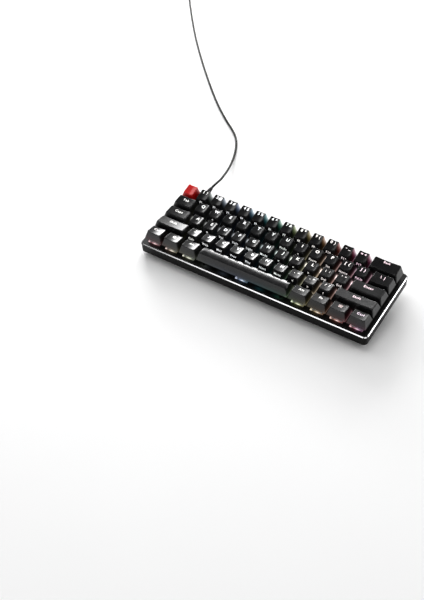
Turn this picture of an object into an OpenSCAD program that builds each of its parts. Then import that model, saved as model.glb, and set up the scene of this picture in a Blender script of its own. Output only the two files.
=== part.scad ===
/* [Key grid] */
// Distance between neighbouring key centres
pitch = 19.05; // [19:0.05:19.2]
// Gap between neighbouring keycaps at their skirts
cap_gap = 0.95; // [0.8:0.05:1.2]

/* [Top plate] */
// Plate edge beyond the key block, left and right
margin_x = 4.2; // [4:0.1:6]
// Plate edge beyond the key block, front and back
margin_y = 4.9; // [4.5:0.1:7]
// Plate thickness
plate_t = 1.6; // [1.5:0.1:1.8]
// Bright chamfer around the plate's upper edge
chamfer = 1.0; // [0.6:0.1:1.2]
// Corner radius of the plate
corner_r = 5; // [4:0.5:8]

/* [Case] */
// Height from the plate's top face to the underside of the case
deck_depth = 14.5; // [14.5:0.1:16]
// Wall thickness of the case
case_wall = 2.4; // [2:0.1:3]
// Thickness of the case floor
case_floor = 2; // [1.6:0.1:2.2]
// Angle at which the board stands on its opened feet
tilt = 6.85; // [6:0.05:7]
// Height of the plate's front edge above the table
front_height = 16; // [15.5:0.1:17]

/* [Switches and keycaps] */
// Key travel
travel = 4; // [3:0.1:4]
// Height of the keycap skirts above the plate
skirt_z = 5.8; // [5.6:0.1:6.2]
// Wall thickness of a keycap
cap_wall = 1.4; // [1.2:0.1:1.5]
// Height of the top surface's front edge above the skirt, from the front row to the back row
cap_front = [10.6, 10.6, 9.0, 9.6, 9.4]; // [8:0.1:12]
// Height of the top surface's back edge above the skirt, from the front row to the back row
cap_back = [7.9, 7.9, 8.3, 9.9, 11.6]; // [7:0.1:13]

/* [Cable] */
// Diameter of the cable
cable_d = 3; // [2.8:0.1:3.2]
// Distance from the middle of the board to the cable socket, towards the left
socket_x = 128; // [120:1:130]

/* [Hidden] */

// Key widths in units, row by row from the front, each from left to right
ROWS = [
    [1.25, 1.25, 1.25, 6.25, 1.25, 1.25, 1.25, 1.25],
    [2.25, 1, 1, 1, 1, 1, 1, 1, 1, 1, 1, 2.75],
    [1.75, 1, 1, 1, 1, 1, 1, 1, 1, 1, 1, 1, 2.25],
    [1.5, 1, 1, 1, 1, 1, 1, 1, 1, 1, 1, 1, 1, 1.5],
    [1, 1, 1, 1, 1, 1, 1, 1, 1, 1, 1, 1, 1, 2]
];
ROW_UNITS = 15;
SPACE_KEY = 3;
// Stabiliser stems stand this far from the middle of a wide key
STAB_REACH = 11.94;
SPACE_STAB_REACH = 50;
STABLE_FROM = 2;

// The plate and the case, in deck coordinates: the middle of the plate's top face is the origin
plate_w = ROW_UNITS * pitch + 2 * margin_x;
plate_d = len(ROWS) * pitch + 2 * margin_y;
case_inset = 0.4;
case_w = plate_w - 2 * case_inset;
case_d = plate_d - 2 * case_inset;
case_r = corner_r - case_inset;
underside_z = -deck_depth;
case_floor_z = underside_z + case_floor;
bottom_chamfer = 2;
// The plate's widest line is the lower edge of its chamfer, and the case reaches furthest back
front_reach = -plate_d / 2 * cos(tilt) + chamfer * sin(tilt);
back_reach = case_d / 2 * cos(tilt) + (deck_depth - bottom_chamfer) * sin(tilt);
deck_y = -(front_reach + back_reach) / 2;
deck_z = front_height + plate_d / 2 * sin(tilt);

// Switch, from the plate's top face
cutout = 14;
housing_in_plate = 13.8;
flange = 15.6;
flange_t = 1;
housing_top_z = 6.6;
housing_foot = 14;
housing_head = 10.6;
housing_roof = 1.2;
housing_cavity = 11.4;
housing_wall = (housing_in_plate - housing_cavity) / 2;
board_top_z = -5;
board_t = 1.6;
board_bottom_z = board_top_z - board_t;
cavity_floor_z = board_top_z + housing_wall;
centre_post_d = 4;
centre_post_z = -8;
stem_top_z = 10.2;
stem_block = [6.8, 5.4];
stem_block_top_z = 6.8;
stem_block_bottom_z = 0.8;
stem_wing = [9.2, 5];
stem_wing_top_z = housing_top_z - housing_roof - 0.3;
stem_hole = [7.4, 5.9];
stem_cross = 4;
stem_cross_t = 1.3;
pole_d = 2.4;
pole_bottom_z = -3;
pole_bore_d = 3;
spring_d = 4;
spring_wire = 0.4;
spring_room_d = 4.6;
spring_room_z = 5;
spring_pressed = 4.4;
ROUND = 12;

// Keycap
cap_d = pitch - cap_gap;
cap_side_in = 3;
cap_front_in = 3.3;
cap_back_in = 1.5;
cap_roof = 2;
dish = 0.8;
space_crown_r = 22;
post_d = 5.5;
post_bottom_z = 6.9;
post_into_roof = 0.6;

// Light source beside each switch stem
light_y = 4.9;
light_size = [3.2, 2.6, 1];
light_slot = [5.4, 3.2];

// Hot-swap socket under each switch, opposite its light
contact_at = [1.2, -4.6];
contact_size = [9.6, 3.6];
contact_t = 1.8;

// Controller chip under the board, clear of the posts and sockets around it
chip_at = [-62, 7.3];
chip_size = [7, 7];
chip_pin = [0.4, 1.6];
chip_pin_reach = 4.1;

// Stabiliser
stab_outer = [6.7, 11.6];
stab_inner = [5.8, 10];
stab_top_z = 5.6;
stab_stem = [4.4, 4.6];
stab_stem_bottom_z = -3.2;
wire_d = 1.6;
wire_y = -8.5;
wire_z = -2.9;
wire_leg = 9.72;
wire_angle = asin(travel / 2 / wire_leg);
wire_slot = 2.2;
wire_slot_z = [-2.55, 0.85];
clip_from_stem = 2.6;

// Screws stand on the lines between rows, where four switches leave room
screw_rows_y = 1.5 * pitch;
SCREWS = [[-100, -screw_rows_y], [-5, -screw_rows_y], [90, -screw_rows_y],
          [-100, screw_rows_y], [-5, screw_rows_y], [90, screw_rows_y]];
RESTS = [[-120, -pitch / 2], [-45, -pitch / 2], [40, -pitch / 2], [120, -pitch / 2],
         [-120, pitch / 2], [-45, pitch / 2], [40, pitch / 2], [120, pitch / 2]];
screw_d = 1.9;
screw_head_d = 3.2;
screw_head_t = 0.8;
screw_length = 8;
screw_hole_d = 2.2;
boss_d = 4.4;
boss_bore_d = 2;

// Flip-out feet
foot_x = 98;
foot_y = 40;
foot_w = 26;
foot_t = 3.2;
foot_length = 16;
foot_axis_z = underside_z + 1.9;
foot_pin_d = 1.8;
foot_pin_reach = 1.6;
foot_bore_d = 2.2;
pocket_gap = 0.4;
pocket_behind = 2.2;
pocket_ahead = 17.4;
pocket_depth = 3.8;
pocket_shell = 1.4;
pocket_side = 2.2;

// Rubber pads
PADS_FRONT = [[-112, -44], [112, -44]];
PADS_BACK = [[-60, 46], [60, 46]];
pad_size = [24, 7];
pad_out = 2.6;
pad_seat = 0.6;
pad_gap = 0.3;

// Cable socket, its opening and the cable's boot, along the deck
socket_size = [8.9, 7.3, 3.3];
socket_face_y = case_d / 2 - case_wall - 0.6;
socket_z = board_bottom_z - socket_size[2] / 2 - 0.05;
port_w = 13;
port_h = 7.4;
tongue = [8.2, 6.4, 2.4];
boot_size = [11.4, 14, 6];
boot_start_y = socket_face_y + 0.4;
relief_d1 = 5.4;
relief_d2 = 4;
relief_length = 11;
boot_end_y = boot_start_y + boot_size[1] + relief_length;
relief_ribs = 4;

// Cable: route of the stretch that lies open, from the boot to the coil
cable_floor_z = cable_d / 2;
cable_exit = deck_point([-socket_x, boot_end_y, socket_z]);
ROUTE = [
    cable_exit,
    deck_point([-socket_x, boot_end_y + 5, socket_z]),
    [-128.6, 88.5, 22.4],
    [-130.6, 99.9, 19.4],
    [-134.3, 112.8, 15.6],
    [-138.4, 125.9, 11.8],
    [-143, 139.8, 8.2],
    [-148, 153.6, 5],
    [-153, 166.3, 2.9],
    [-157.8, 178, cable_floor_z + 0.3],
    [-163.7, 190.8, cable_floor_z],
    [-170.7, 203, cable_floor_z],
    [-179.2, 214.2, cable_floor_z],
    [-192.4, 226.5, cable_floor_z],
    [-214, 244, cable_floor_z],
    [-246, 273, cable_floor_z],
    [-285, 313, cable_floor_z],
    [-328, 360, cable_floor_z],
    [-372, 411, cable_floor_z],
    [-412, 461, cable_floor_z],
    [-447, 507, cable_floor_z],
    [-474, 542, cable_floor_z + 0.8]
];
route_steps = 4;
tube_sides = 8;
// Coil, wound clockwise, and tied on the side away from the board
coil_centre = [-458, 554];
coil_inner_r = 12.4;
coil_outer_r = 21.7;
coil_z = 0.8;
coil_top_z = 13.2;
tail_angle = 122.5;
tail_r = 20;
tail_length = 30;
tail_heading = tail_angle - 90;
tail_start_z = 11.4;
plug_z = 3.6;
plug_body_size = [25, 12.4, 7];
plug_shell_size = [18.7, 12, 4.5];
plug_shell_t = 0.4;
tie_w = 9;
tie_t = 0.7;
tie_angle = 200;

function total(v, n, k = 0) = k >= n ? 0 : v[k] + total(v, n, k + 1);
function key_w(r, i) = ROWS[r][i] * pitch - cap_gap;
function key_x(r, i) = (total(ROWS[r], i) + ROWS[r][i] / 2 - ROW_UNITS / 2) * pitch;
function row_y(r) = (r - (len(ROWS) - 1) / 2) * pitch;
function is_space(r, i) = r == 0 && i == SPACE_KEY;
function is_stable(r, i) = ROWS[r][i] >= STABLE_FROM;
function stab_reach(r, i) = is_space(r, i) ? SPACE_STAB_REACH : STAB_REACH;
function deck_point(p) = [
    p[0],
    deck_y + p[1] * cos(tilt) - p[2] * sin(tilt),
    deck_z + p[1] * sin(tilt) + p[2] * cos(tilt)
];
function unit(v) = v / norm(v);

module deck() translate([0, deck_y, deck_z]) rotate([tilt, 0, 0]) children();
module at_key(r, i) translate([key_x(r, i), row_y(r), 0]) children();
module every_key()
    for (r = [0 : len(ROWS) - 1])
        for (i = [0 : len(ROWS[r]) - 1])
            at_key(r, i) children();
module every_stab()
    for (r = [0 : len(ROWS) - 1])
        for (i = [0 : len(ROWS[r]) - 1])
            if (is_stable(r, i))
                for (side = [-1, 1])
                    translate([key_x(r, i) + side * stab_reach(r, i), row_y(r), 0])
                        mirror([side < 0 ? 1 : 0, 0, 0]) children();
module block(size, z0, z1) translate([-size[0] / 2, -size[1] / 2, z0]) cube([size[0], size[1], z1 - z0]);
module rounded(size, r, z0, z1) translate([0, 0, z0]) linear_extrude(z1 - z0) {
    square([size[0] - 2 * r, size[1]], center = true);
    square([size[0], size[1] - 2 * r], center = true);
    for (x = [-1, 1]) for (y = [-1, 1])
        translate([x * (size[0] / 2 - r), y * (size[1] / 2 - r)]) circle(r, $fn = 48);
}
// A rounded slab whose edge narrows by c between z0 and z1: two crossed prisms and four cones
module sloped_edge(size, r, c, z0, z1) {
    profile = function(w) [[-w / 2, z0], [w / 2, z0], [w / 2 - c, z1], [-w / 2 + c, z1]];
    rotate([90, 0, 0]) linear_extrude(size[1] - 2 * r, center = true) polygon(profile(size[0]));
    rotate([90, 0, 90]) linear_extrude(size[0] - 2 * r, center = true) polygon(profile(size[1]));
    for (x = [-1, 1]) for (y = [-1, 1])
        translate([x * (size[0] / 2 - r), y * (size[1] / 2 - r), min(z0, z1)])
            cylinder(r1 = z0 < z1 ? r : r - c, r2 = z0 < z1 ? r - c : r, h = abs(z1 - z0), $fn = 48);
}
// A prism with sloping sides on a w by d foot, leaning in by the given amounts at its top edges
module sloped_block(w, d, side_in, front_in, back_in, h_front, h_back, z0 = 0) {
    h = max(h_front, h_back);
    intersection() {
        rotate([90, 0, 90]) linear_extrude(w + 2, center = true)
            polygon([[-d / 2, z0], [d / 2, z0], [d / 2 - back_in, h_back], [-d / 2 + front_in, h_front]]);
        rotate([90, 0, 0]) linear_extrude(d + 2, center = true)
            polygon([[-w / 2, z0], [w / 2, z0], [w / 2 - side_in, h], [-w / 2 + side_in, h]]);
    }
}

module top_plate() color("#1c1c1e") deck() difference() {
    union() {
        rounded([plate_w, plate_d], corner_r, -plate_t, -chamfer);
        sloped_edge([plate_w, plate_d], corner_r, chamfer, -chamfer, 0);
    }
    every_key() block([cutout, cutout], -plate_t - 1, 1);
    every_stab() {
        block([stab_outer[0] + 0.3, stab_outer[1] + 0.5], -plate_t - 1, 1);
        translate([0, -stab_outer[1] / 2 - 1, 0]) block([wire_slot + 0.6, 3], -plate_t - 1, 1);
    }
    for (p = SCREWS) translate([p[0], p[1], -plate_t - 1])
        cylinder(d = screw_hole_d, h = plate_t + 2, $fn = 24);
}

// Room for a folded foot, larger by side and by shell where it is the walls around that room
module foot_pocket(side, shell, z0, z1)
    translate([-foot_w / 2 - pocket_gap - side, foot_y - pocket_ahead - shell, z0])
        cube([foot_w + 2 * (pocket_gap + side), pocket_ahead + pocket_behind + 2 * shell, z1 - z0]);
module bottom_case() color("#161618") deck() difference() {
    union() {
        difference() {
            union() {
                rounded([case_w, case_d], case_r, underside_z + bottom_chamfer, -plate_t);
                sloped_edge([case_w, case_d], case_r, bottom_chamfer,
                            underside_z + bottom_chamfer, underside_z);
            }
            rounded([case_w - 2 * case_wall, case_d - 2 * case_wall], case_r - case_wall, case_floor_z, 1);
        }
        for (side = [-1, 1]) translate([side * foot_x, 0, 0])
            foot_pocket(pocket_side, pocket_shell, case_floor_z - 0.5,
                        underside_z + pocket_depth + pocket_shell);
        for (p = SCREWS) translate([p[0], p[1], case_floor_z - 0.5])
            cylinder(d = boss_d, h = -plate_t - case_floor_z + 0.5, $fn = 32);
        for (p = RESTS) translate([p[0], p[1], case_floor_z - 0.5])
            cylinder(d = boss_d, h = board_bottom_z - case_floor_z + 0.5, $fn = 32);
    }
    for (side = [-1, 1]) translate([side * foot_x, 0, 0]) {
        foot_pocket(0, 0, underside_z - 1, underside_z + pocket_depth);
        translate([0, foot_y, foot_axis_z]) rotate([0, 90, 0])
            cylinder(
                d = foot_bore_d,
                h = foot_w + 2 * (foot_pin_reach + pocket_gap),
                center = true,
                $fn = 32
            );
    }
    for (p = SCREWS) translate([p[0], p[1], -plate_t - screw_length])
        cylinder(d = boss_bore_d, h = screw_length + 1, $fn = 24);
    for (p = concat(PADS_FRONT, PADS_BACK)) translate([p[0], p[1], 0])
        rounded([pad_size[0] + pad_gap, pad_size[1] + pad_gap], 2, underside_z - 1, underside_z + pad_seat);
    translate([-socket_x, case_d / 2, socket_z]) rotate([90, 0, 0])
        rounded([port_w, port_h], port_h / 2 - 0.01, -5, 5);
}

module circuit_board() color("#14361f") deck() difference() {
    rounded([case_w - 2 * case_wall - 1.2, case_d - 2 * case_wall - 1.2], 1.5, board_bottom_z, board_top_z);
    every_key() translate([0, 0, board_bottom_z - 1])
        cylinder(d = centre_post_d + 0.3, h = board_t + 2, $fn = ROUND);
    every_stab() block([stab_stem[0] + 1, stab_stem[1] + 0.8], board_bottom_z - 1, board_top_z + 1);
    for (p = SCREWS) translate([p[0], p[1], board_bottom_z - 1])
        cylinder(d = boss_d + 0.6, h = board_t + 2, $fn = 24);
}

module switch_bottom_housings() color("#2b2b2e") deck() every_key() difference() {
    union() {
        block([housing_in_plate, housing_in_plate], board_top_z, 0.1);
        block([flange, flange], 0, flange_t);
        translate([0, 0, centre_post_z])
            cylinder(d = centre_post_d, h = board_top_z - centre_post_z + 0.5, $fn = ROUND);
    }
    block([housing_cavity, housing_cavity], cavity_floor_z, flange_t + 1);
    translate([0, 0, centre_post_z + 0.4]) cylinder(d = pole_bore_d, h = 10, $fn = ROUND);
    translate([0, light_y, 0]) block(light_slot, board_top_z - 1, flange_t + 1);
}

module switch_top_housings() color("#d8dcdf") deck() every_key() difference() {
    lean = (housing_foot - housing_head) / 2;
    high = housing_top_z - flange_t;
    translate([0, 0, flange_t]) sloped_block(housing_foot, housing_foot, lean, lean, lean, high, high);
    translate([0, 0, flange_t])
        sloped_block(housing_cavity, housing_cavity, 1, 1, 1, high - housing_roof, high - housing_roof, -1);
    block(stem_hole, flange_t, housing_top_z + 1);
}

module hot_swap_sockets() color("#26262a") deck() every_key() translate([contact_at[0], contact_at[1], 0]) {
    block(contact_size, board_bottom_z - contact_t, board_bottom_z);
    for (side = [-1, 1]) translate([side * (contact_size[0] / 2 + 0.8), 0, 0])
        block([1.8, 2], board_bottom_z - 1.2, board_bottom_z);
}

module switch_springs() color("#c9a54a") deck() every_key() translate([0, 0, cavity_floor_z]) difference() {
    cylinder(d = spring_d, h = spring_pressed, $fn = ROUND);
    translate([0, 0, -1]) cylinder(d = spring_d - 2 * spring_wire, h = spring_pressed + 2, $fn = ROUND);
}

module key_lights() color("#f4f4f0") deck() every_key() translate([0, light_y, 0])
    block(light_size, board_top_z, board_top_z + light_size[2]);

module stabiliser_housings() color("#202023") deck() every_stab() difference() {
    union() {
        block(stab_outer, board_top_z, stab_top_z);
        translate([-clip_from_stem, (wire_y - 1.7 - stab_outer[1] / 2) / 2, 0])
            block([2, stab_outer[1] / 2 * -1 - wire_y + 1.7 + 0.4], board_top_z, -plate_t - 0.1);
    }
    block(stab_inner, board_top_z - 1, stab_top_z + 1);
    translate([0, -stab_outer[1] / 2, 0]) block([wire_slot, 4], board_top_z - 1, wire_z + 2.2);
    translate([-clip_from_stem, wire_y, wire_z]) {
        rotate([0, 90, 0]) cylinder(d = wire_d + 0.5, h = 6, center = true, $fn = 32);
        block([6, wire_d + 0.5], 0, 3);
    }
}

module stabiliser_wire(r, i) color("#b9bcc0") deck() at_key(r, i) translate([0, wire_y, wire_z]) {
    reach = stab_reach(r, i);
    rotate([0, 90, 0]) cylinder(d = wire_d, h = 2 * reach, center = true, $fn = 24);
    for (side = [-1, 1]) translate([side * reach, 0, 0]) {
        sphere(d = wire_d, $fn = 24);
        rotate([wire_angle - 90, 0, 0]) cylinder(d = wire_d, h = wire_leg, $fn = 24);
    }
}
module wire_backspace() stabiliser_wire(4, 13);
module wire_enter() stabiliser_wire(2, 12);
module wire_left_shift() stabiliser_wire(1, 0);
module wire_right_shift() stabiliser_wire(1, 11);
module wire_space() stabiliser_wire(0, SPACE_KEY);

module controller_chip() color("#1d1d20") deck() translate([chip_at[0], chip_at[1], 0]) {
    block(chip_size, board_bottom_z - 1.4, board_bottom_z - 0.2);
    for (turn = [0 : 3]) rotate(turn * 90) for (k = [-2.5 : 1 : 2.5])
        translate([k, chip_pin_reach, 0]) block(chip_pin, board_bottom_z - 0.4, board_bottom_z);
}

module cable_socket() color("#a9adb2") deck()
    translate([-socket_x, socket_face_y, socket_z]) rotate([90, 0, 0]) difference() {
        rounded([socket_size[0], socket_size[2]], 1.2, 0, socket_size[1]);
        rounded([socket_size[0] - 0.5, socket_size[2] - 0.5], 1.05, -1, socket_size[1] - 0.5);
    }

module plate_screws() color("#33343a") deck() for (p = SCREWS) translate([p[0], p[1], 0]) {
    difference() {
        cylinder(d = screw_head_d, h = screw_head_t, $fn = 32);
        translate([0, 0, 0.3]) cylinder(d = 1.5, h = 1, $fn = 6);
    }
    translate([0, 0, -plate_t - screw_length + 1])
        cylinder(d = screw_d, h = plate_t + screw_length - 1, $fn = 24);
}

module pad(p) translate([p[0], p[1], 0]) rounded(pad_size, 2, underside_z - pad_out, underside_z + pad_seat);
module rubber_feet() color("#0f0f10") {
    difference() {
        deck() for (p = PADS_FRONT) translate([0, 0, -pad_out]) {
            pad(p);
            translate([0, 0, pad_out]) pad(p);
        }
        translate([-200, -100, -20]) cube([400, 200, 20]);
    }
    deck() for (p = PADS_BACK) pad(p);
}

// A foot hinges on two short pins and stands square to the case, cut level where it meets the table
module flip_foot(side) color("#1b1b1d") difference() {
    deck() translate([side * foot_x, foot_y, foot_axis_z]) {
        rotate([0, 90, 0]) cylinder(d = foot_t, h = foot_w, center = true, $fn = 32);
        difference() {
            translate([-foot_w / 2, -foot_t / 2, -foot_length]) cube([foot_w, foot_t, foot_length]);
            translate([0, 0, -foot_length / 2]) block([foot_w - 8, 1.2], -3.5, 3.5);
        }
        rotate([0, 90, 0])
            cylinder(d = foot_pin_d, h = foot_w + 2 * foot_pin_reach, center = true, $fn = 32);
    }
    translate([-200, -100, -20]) cube([400, 200, 20]);
}
module left_flip_foot() flip_foot(-1);
module right_flip_foot() flip_foot(1);

module stem_at_rest() {
    difference() {
        union() {
            block(stem_block, stem_block_bottom_z, stem_block_top_z);
            block(stem_wing, stem_block_bottom_z, stem_wing_top_z);
        }
        translate([0, 0, stem_block_bottom_z - 1])
            cylinder(d = spring_room_d, h = spring_room_z - stem_block_bottom_z + 1, $fn = ROUND);
    }
    translate([0, 0, pole_bottom_z])
        cylinder(d = pole_d, h = spring_room_z + 0.5 - pole_bottom_z, $fn = ROUND);
    cross_shaft();
}
module cross_shaft() {
    block([stem_cross, stem_cross_t], stem_block_top_z - 0.1, stem_top_z);
    block([stem_cross_t, stem_cross], stem_block_top_z - 0.1, stem_top_z);
}
module stabiliser_stem() {
    difference() {
        block(stab_stem, stab_stem_bottom_z, stem_block_top_z);
        translate([0, -1.2, 0]) block([wire_slot, 6.4], wire_slot_z[0], wire_slot_z[1]);
    }
    cross_shaft();
}
module cap_post(roof_z) difference() {
    translate([0, 0, post_bottom_z]) cylinder(d = post_d, h = roof_z - post_bottom_z, $fn = ROUND);
    block([stem_cross + 0.1, stem_cross_t + 0.1], post_bottom_z - 1, stem_top_z + 0.1);
    block([stem_cross_t + 0.1, stem_cross + 0.1], post_bottom_z - 1, stem_top_z + 0.1);
}
module cap_shell(w, hf, hb, crowned) {
    top_front = -cap_d / 2 + cap_front_in;
    top_back = cap_d / 2 - cap_back_in;
    lean = atan((hb - hf) / (top_back - top_front));
    middle = [0, (top_front + top_back) / 2, (hf + hb) / 2];
    half = w / 2 - cap_side_in;
    dish_r = (half * half + dish * dish) / (2 * dish);
    narrowing = (hf - cap_roof) / hf;
    difference() {
        sloped_block(w, cap_d, cap_side_in, cap_front_in, cap_back_in, hf, hb);
        if (crowned) difference() {
            translate(middle) rotate([lean, 0, 0]) block([w + 2, cap_d + 10], -2.2, 4);
            translate(middle) rotate([lean, 0, 0]) translate([0, 0, -space_crown_r]) rotate([0, 90, 0])
                cylinder(r = space_crown_r, h = w + 4, center = true, $fn = 96);
        }
        else translate(middle) rotate([lean, 0, 0]) translate([0, 0, dish_r - dish]) rotate([90, 0, 0])
            cylinder(r = dish_r, h = 40, center = true, $fn = 360);
        sloped_block(w - 2 * cap_wall, cap_d - 2 * cap_wall, narrowing * cap_side_in,
                     narrowing * cap_front_in, narrowing * cap_back_in, hf - cap_roof, hb - cap_roof, -1);
    }
}
module key(r, i) deck() at_key(r, i) {
    hf = cap_front[r];
    hb = cap_back[r];
    posts = is_stable(r, i) ? [-stab_reach(r, i), 0, stab_reach(r, i)] : [0];
    translate([0, 0, skirt_z]) cap_shell(key_w(r, i), hf, hb, is_space(r, i));
    for (x = posts) translate([x, 0, 0]) {
        cap_post(skirt_z + (hf + hb) / 2 - cap_roof + post_into_roof);
        if (x == 0) stem_at_rest();
        else stabiliser_stem();
    }
}
module keys(r, first, last) color("#3a3a3c") for (i = [first : last]) key(r, i);

module key_escape() color("#c8201c") key(4, 0);
module keys_1_2_3() keys(4, 1, 3);
module keys_4_5() keys(4, 4, 5);
module keys_6_7() keys(4, 6, 7);
module keys_8_9() keys(4, 8, 9);
module keys_0_minus_equals() keys(4, 10, 12);
module key_backspace() keys(4, 13, 13);
module key_tab() keys(3, 0, 0);
module keys_q_w_e() keys(3, 1, 3);
module keys_r_t() keys(3, 4, 5);
module keys_y_u() keys(3, 6, 7);
module keys_i_o() keys(3, 8, 9);
module keys_p_brackets() keys(3, 10, 12);
module key_backslash() keys(3, 13, 13);
module key_caps_lock() keys(2, 0, 0);
module keys_a_s_d() keys(2, 1, 3);
module keys_f_g_h() keys(2, 4, 6);
module keys_j_k_l() keys(2, 7, 9);
module keys_semicolon_quote() keys(2, 10, 11);
module key_enter() keys(2, 12, 12);
module key_left_shift() keys(1, 0, 0);
module keys_z_x_c() keys(1, 1, 3);
module keys_v_b() keys(1, 4, 5);
module keys_n_m() keys(1, 6, 7);
module keys_comma_period_slash() keys(1, 8, 10);
module key_right_shift() keys(1, 11, 11);
module key_left_ctrl() keys(0, 0, 0);
module key_left_super() keys(0, 1, 1);
module key_left_alt() keys(0, 2, 2);
module key_space() keys(0, SPACE_KEY, SPACE_KEY);
module key_right_alt() keys(0, 4, 4);
module key_function() keys(0, 5, 5);
module key_menu() keys(0, 6, 6);
module key_right_ctrl() keys(0, 7, 7);

module cable_boot() color("#1a1a1c") deck() translate([-socket_x, boot_start_y, socket_z])
    rotate([-90, 0, 0]) {
        rounded([tongue[0], tongue[2]], 1.1, -tongue[1], 0.2);
        rounded([boot_size[0], boot_size[2]], 2.6, 0, boot_size[1]);
        translate([0, 0, boot_size[1] - 0.1])
            cylinder(d1 = relief_d1, d2 = relief_d2, h = relief_length + 0.1, $fn = 32);
        for (k = [1 : relief_ribs]) translate([0, 0, boot_size[1] + k * 2])
            cylinder(d = relief_d1 + 0.5 - k * 0.25, h = 1, $fn = 32);
    }

// Point at t between b and c on a smooth curve through a, b, c and d
function curve(a, b, c, d, t) = 0.5 * (2 * b + (c - a) * t + (2 * a - 5 * b + 4 * c - d) * t * t
                                       + (3 * b - a - 3 * c + d) * t * t * t);
function curve_points(p, steps) = let (n = len(p)) concat(
    [for (k = [0 : n - 2]) for (s = [0 : steps - 1])
        curve(p[max(k - 1, 0)], p[k], p[k + 1], p[min(k + 2, n - 1)], s / steps)],
    [p[n - 1]]);
function heading(p, k) = unit(p[min(k + 1, len(p) - 1)] - p[max(k - 1, 0)]);
function ring(c, along, r) = let (across = unit(cross(along, [0, 0, 1])), up = cross(across, along))
    [for (s = [0 : tube_sides - 1]) let (a = (s + 0.5) * 360 / tube_sides)
        c + r * (cos(a) * across + sin(a) * up)];
module tube(p, r) {
    n = len(p);
    polyhedron(
        points = [for (k = [0 : n - 1]) each ring(p[k], heading(p, k), r)],
        faces = concat(
            [[for (s = [0 : tube_sides - 1]) s]],
            [for (k = [0 : n - 2]) for (s = [0 : tube_sides - 1]) let (t = (s + 1) % tube_sides)
                [k * tube_sides + s, (k + 1) * tube_sides + s, (k + 1) * tube_sides + t, k * tube_sides + t]],
            [[for (s = [tube_sides - 1 : -1 : 0]) (n - 1) * tube_sides + s]]));
}
function around_coil(r, a, z) = [coil_centre[0] + r * cos(a), coil_centre[1] + r * sin(a), z];
tail_start = around_coil(tail_r, tail_angle, tail_start_z);
tail_way = [cos(tail_heading), sin(tail_heading), 0];
TAIL = [
    tail_start,
    tail_start + 8 * tail_way,
    tail_start + 18 * tail_way + [0, 0, (plug_z - tail_start_z) * 0.6],
    tail_start + (tail_length - 6) * tail_way + [0, 0, plug_z - tail_start_z],
    tail_start + tail_length * tail_way + [0, 0, plug_z - tail_start_z]
];
module usb_cable() color("#202022") {
    tube(curve_points(ROUTE, route_steps), cable_d / 2);
    tube(curve_points(TAIL, 1), cable_d / 2);
}
module usb_cable_coil() color("#202022") translate([coil_centre[0], coil_centre[1], 0])
    rotate_extrude($fn = 96) translate([coil_inner_r, coil_z])
        square([coil_outer_r - coil_inner_r, coil_top_z - coil_z]);
module cable_tie() color("#101010") translate([coil_centre[0], coil_centre[1], 0]) rotate(tie_angle)
    translate([0, -tie_w / 2, 0]) difference() {
        translate([coil_inner_r - tie_t - 1, 0, 0])
            cube([coil_outer_r - coil_inner_r + 2 * tie_t + 2, tie_w, coil_top_z + tie_t]);
        translate([coil_inner_r - 1, -1, coil_z])
            cube([coil_outer_r - coil_inner_r + 2, tie_w + 2, coil_top_z - coil_z]);
    }
module along_tail(from) translate(tail_start + (tail_length + from) * tail_way
                                  + [0, 0, plug_z - tail_start_z]) rotate(tail_heading) children();
module usb_plug_body() color("#18181a") along_tail(0) rotate([90, 0, 90])
    rounded([plug_body_size[1], plug_body_size[2]], 2, 0, plug_body_size[0]);
module usb_plug_shell() color("#b4b7bb") along_tail(plug_body_size[0]) rotate([90, 0, 90]) difference() {
    rounded([plug_shell_size[1], plug_shell_size[2]], 0.6, 0, plug_shell_size[0]);
    translate([0, 1, 1]) block([plug_shell_size[1] - 1, plug_shell_size[2] - 1 - 1.4], 0, plug_shell_size[0]);
}

top_plate();
bottom_case();
circuit_board();
switch_bottom_housings();
switch_top_housings();
hot_swap_sockets();
switch_springs();
key_lights();
stabiliser_housings();
wire_backspace();
wire_enter();
wire_left_shift();
wire_right_shift();
wire_space();
controller_chip();
cable_socket();
plate_screws();
rubber_feet();
left_flip_foot();
right_flip_foot();
cable_boot();
usb_cable();
usb_cable_coil();
cable_tie();
usb_plug_body();
usb_plug_shell();
key_escape();
keys_1_2_3();
keys_4_5();
keys_6_7();
keys_8_9();
keys_0_minus_equals();
key_backspace();
key_tab();
keys_q_w_e();
keys_r_t();
keys_y_u();
keys_i_o();
keys_p_brackets();
key_backslash();
key_caps_lock();
keys_a_s_d();
keys_f_g_h();
keys_j_k_l();
keys_semicolon_quote();
key_enter();
key_left_shift();
keys_z_x_c();
keys_v_b();
keys_n_m();
keys_comma_period_slash();
key_right_shift();
key_left_ctrl();
key_left_super();
key_left_alt();
key_space();
key_right_alt();
key_function();
key_menu();
key_right_ctrl();
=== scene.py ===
import math

import bmesh
import bpy
import numpy as np
from mathutils import Matrix, Vector


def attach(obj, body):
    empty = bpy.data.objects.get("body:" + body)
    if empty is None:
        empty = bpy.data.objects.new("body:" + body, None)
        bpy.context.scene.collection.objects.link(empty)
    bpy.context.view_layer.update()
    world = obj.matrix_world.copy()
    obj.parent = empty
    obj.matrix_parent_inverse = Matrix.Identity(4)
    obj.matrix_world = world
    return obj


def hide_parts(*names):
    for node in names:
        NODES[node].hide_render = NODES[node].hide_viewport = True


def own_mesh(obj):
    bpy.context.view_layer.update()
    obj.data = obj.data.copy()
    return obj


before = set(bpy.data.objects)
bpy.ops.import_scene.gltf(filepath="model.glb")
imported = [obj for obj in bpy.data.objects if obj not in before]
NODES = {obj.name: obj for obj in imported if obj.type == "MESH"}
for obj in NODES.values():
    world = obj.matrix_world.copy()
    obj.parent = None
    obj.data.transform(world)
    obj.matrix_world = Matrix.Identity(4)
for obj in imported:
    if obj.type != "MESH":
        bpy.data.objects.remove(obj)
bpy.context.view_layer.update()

MM = 0.001

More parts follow.
